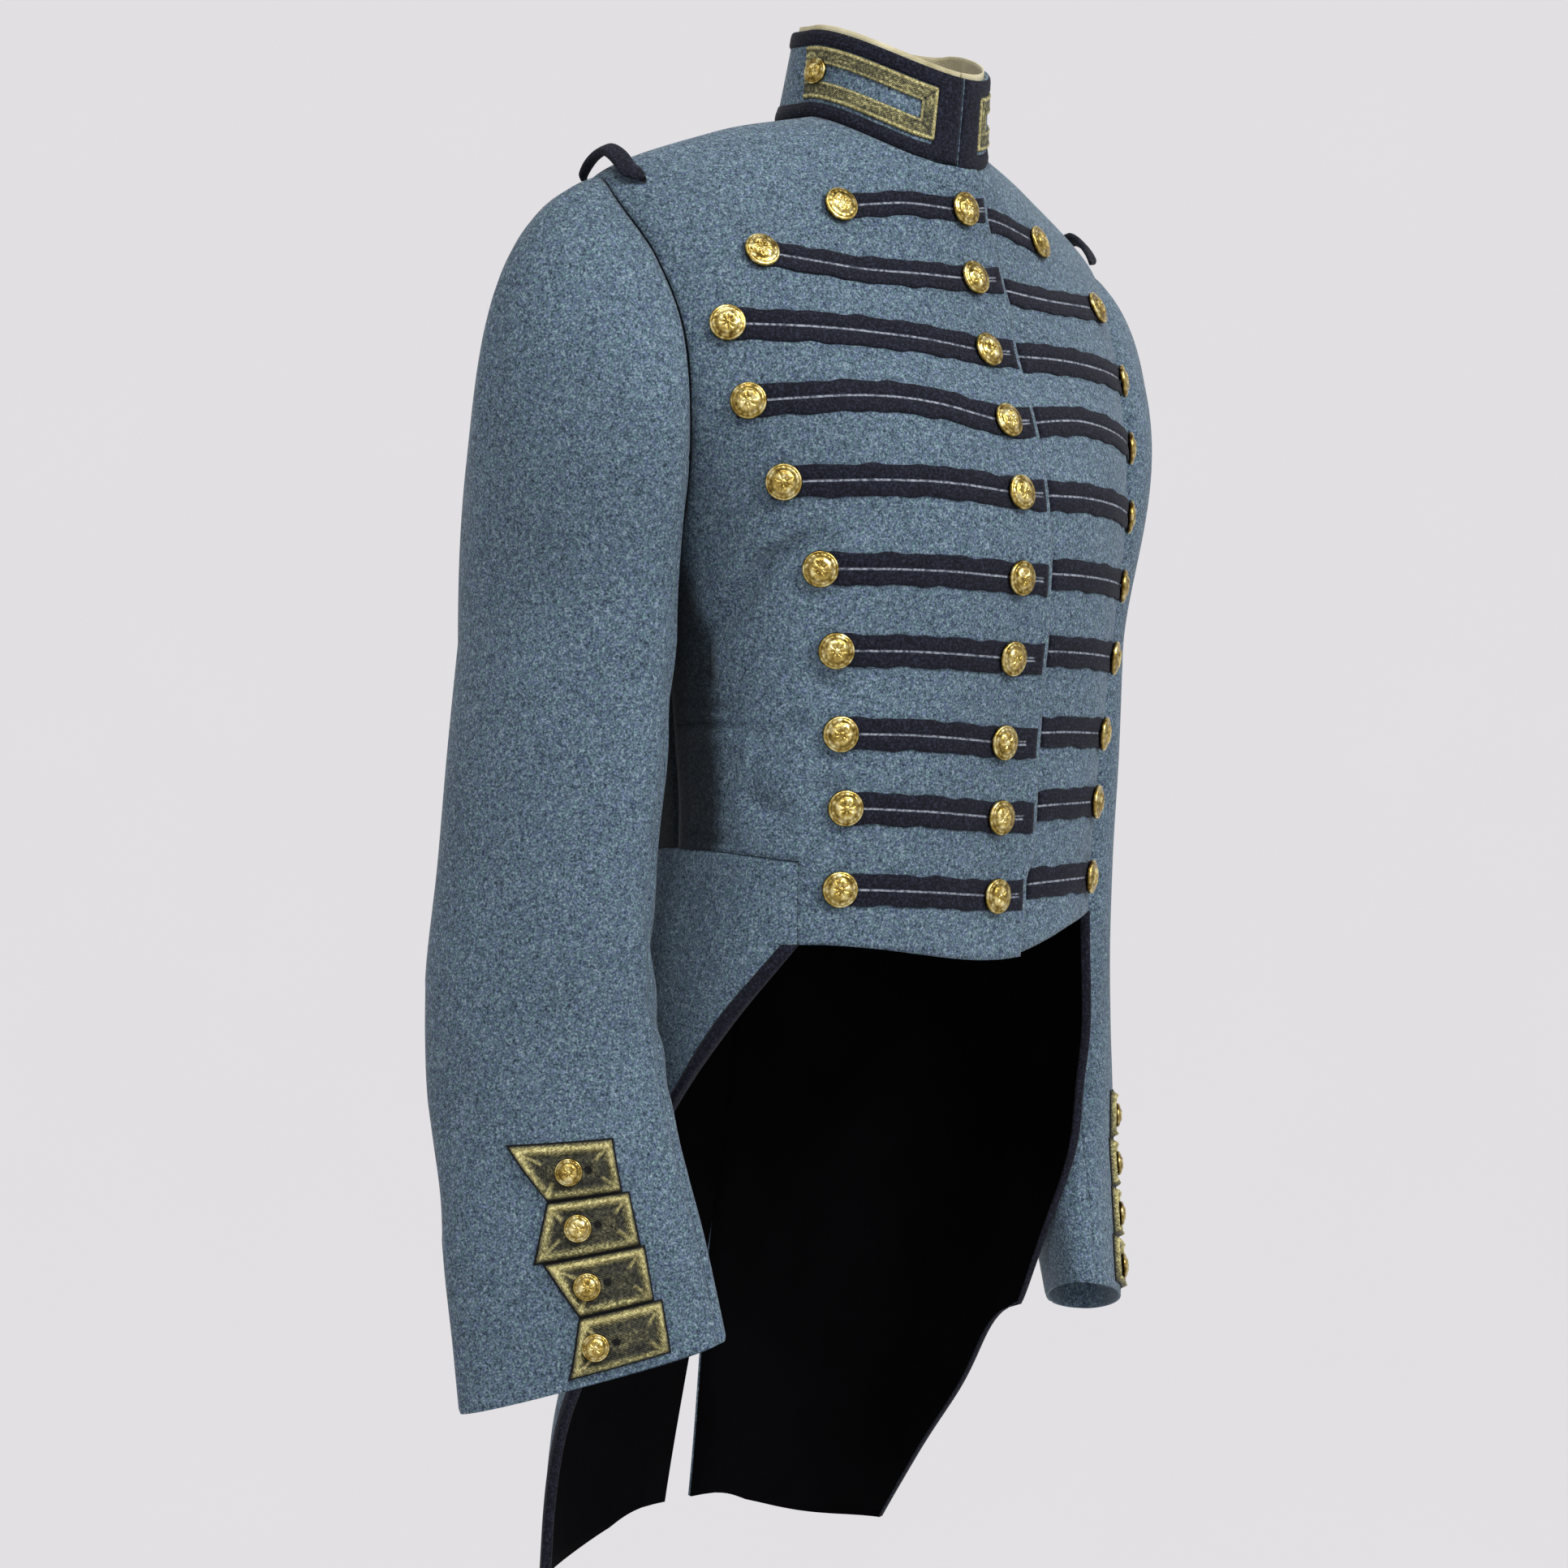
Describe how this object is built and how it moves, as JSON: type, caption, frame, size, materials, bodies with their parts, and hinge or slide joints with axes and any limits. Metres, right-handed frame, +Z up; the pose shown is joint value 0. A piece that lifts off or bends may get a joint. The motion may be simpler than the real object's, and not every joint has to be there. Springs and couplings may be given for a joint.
{
  "type": "military jacket",
  "caption": "Worn-shape wool military jacket, hollow and open at neck, cuffs and hem, with a braided button front, standing collar, laced cuffs and parted tails.",
  "frame": {"origin": "middle of the collar, where the wearer's neck passes through it, halfway up the collar's sides near the foot of its back", "axes": "+Z up along the wearer's neck, -Y the way the wearer faces, +X to the wearer's left"},
  "size_m": [0.5166, 0.2983, 0.9118],
  "materials": {
    "wool": "blue-grey heathered wool, milled and matt",
    "lining": "black twill lining",
    "braid": "navy-black ribbed braid and binding",
    "lace": "tarnished gold lace",
    "brass": "gilt brass, worn on the dome",
    "cream": "cream linen"
  },
  "bodies": {
    "root": {"front_right": "wool", "back_right": "wool", "tail_right": "wool", "undersleeve_right": "wool", "topsleeve_right": "wool", "tail_lining_right": "lining", "tail_edging_right": "braid", "shoulder_loop_right": "braid", "collar_lace_right": "lace", "braid_right_1": "braid", "braid_right_2": "braid", "braid_right_3": "braid", "braid_right_4": "braid", "braid_right_5": "braid", "braid_right_6": "braid", "braid_right_7": "braid", "braid_right_8": "braid", "braid_right_9": "braid", "braid_right_10": "braid", "cuff_lace_right_1": "lace", "cuff_lace_right_2": "lace", "cuff_lace_right_3": "lace", "cuff_lace_right_4": "lace", "front_left": "wool", "back_left": "wool", "tail_left": "wool", "undersleeve_left": "wool", "topsleeve_left": "wool", "tail_lining_left": "lining", "tail_edging_left": "braid", "shoulder_loop_left": "braid", "collar_lace_left": "lace", "braid_left_1": "braid", "braid_left_2": "braid", "braid_left_3": "braid", "braid_left_4": "braid", "braid_left_5": "braid", "braid_left_6": "braid", "braid_left_7": "braid", "braid_left_8": "braid", "braid_left_9": "braid", "braid_left_10": "braid", "cuff_lace_left_1": "lace", "cuff_lace_left_2": "lace", "cuff_lace_left_3": "lace", "cuff_lace_left_4": "lace", "centre_button_1": "brass", "centre_button_2": "brass", "centre_button_3": "brass", "centre_button_4": "brass", "centre_button_5": "brass", "centre_button_6": "brass", "centre_button_7": "brass", "centre_button_8": "brass", "centre_button_9": "brass", "centre_button_10": "brass", "collar": "wool", "collar_binding": "braid", "collar_liner": "cream"}
  },
  "joints": []
}
